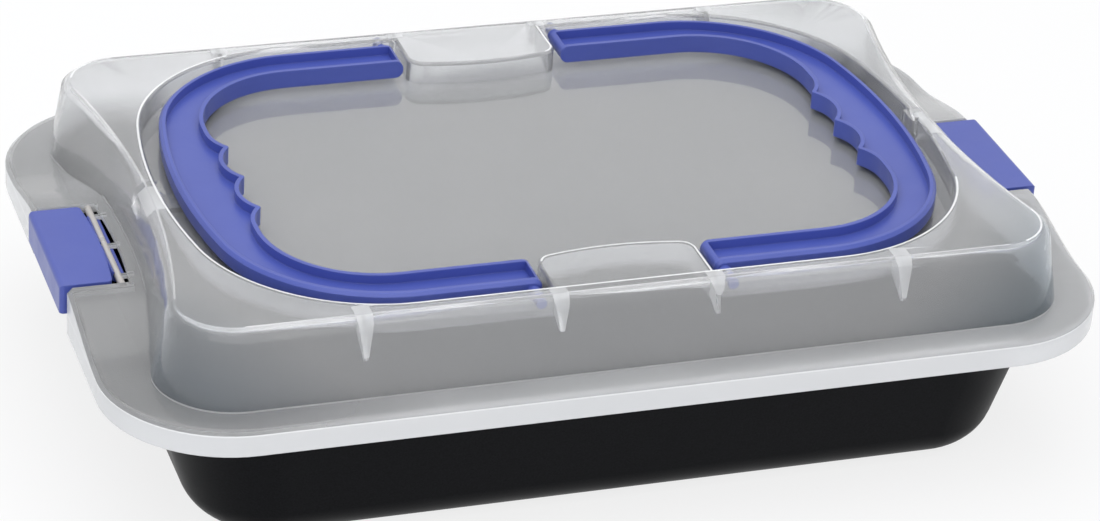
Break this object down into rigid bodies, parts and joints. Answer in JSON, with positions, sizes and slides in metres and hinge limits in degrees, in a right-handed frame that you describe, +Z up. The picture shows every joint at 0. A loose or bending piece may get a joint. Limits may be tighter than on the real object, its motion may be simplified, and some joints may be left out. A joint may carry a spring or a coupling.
{
  "type": "baking pan with lid",
  "caption": "Rectangular baking pan with a clip-on carrying lid, fold-away handles in the lid's top and a hinged clip at each end.",
  "frame": {"origin": "centre of the pan's flat underside, on the surface that it stands on", "axes": "+X along the length towards the right-hand clip, +Y across the depth towards the far side, +Z up"},
  "size_m": [0.4504, 0.2992, 0.1123],
  "materials": {
    "nonstick_steel": "satin black non-stick coating on sheet steel",
    "frosted_plastic": "frosted translucent moulded plastic",
    "blue_plastic": "smooth moulded plastic"
  },
  "bodies": {
    "pan": {"pan": "nonstick_steel"},
    "lid": {"lid": "frosted_plastic"},
    "handle_left": {"handle_left": "blue_plastic"},
    "handle_right": {"handle_right": "blue_plastic"},
    "clip_left": {"clip_left": "blue_plastic"},
    "clip_right": {"clip_right": "blue_plastic"}
  },
  "joints": [
    {"name": "lid_lift", "type": "slide", "parent": "pan", "child": "lid", "axis": [0, 0, 1], "range_m": [0, 0.12]},
    {"name": "handle_left_fold", "type": "hinge", "parent": "lid", "child": "handle_left", "pos_m": [-0.0423, 0, 0.107], "axis": [0, 1, 0], "range_deg": [0, 105]},
    {"name": "handle_right_fold", "type": "hinge", "parent": "lid", "child": "handle_right", "pos_m": [0.0423, 0, 0.107], "axis": [0, -1, 0], "range_deg": [0, 105]},
    {"name": "clip_left_turn", "type": "hinge", "parent": "lid", "child": "clip_left", "pos_m": [-0.1984, 0, 0.0843], "axis": [0, 1, 0], "range_deg": [0, 110]},
    {"name": "clip_right_turn", "type": "hinge", "parent": "lid", "child": "clip_right", "pos_m": [0.1984, 0, 0.0843], "axis": [0, -1, 0], "range_deg": [0, 110]}
  ]
}
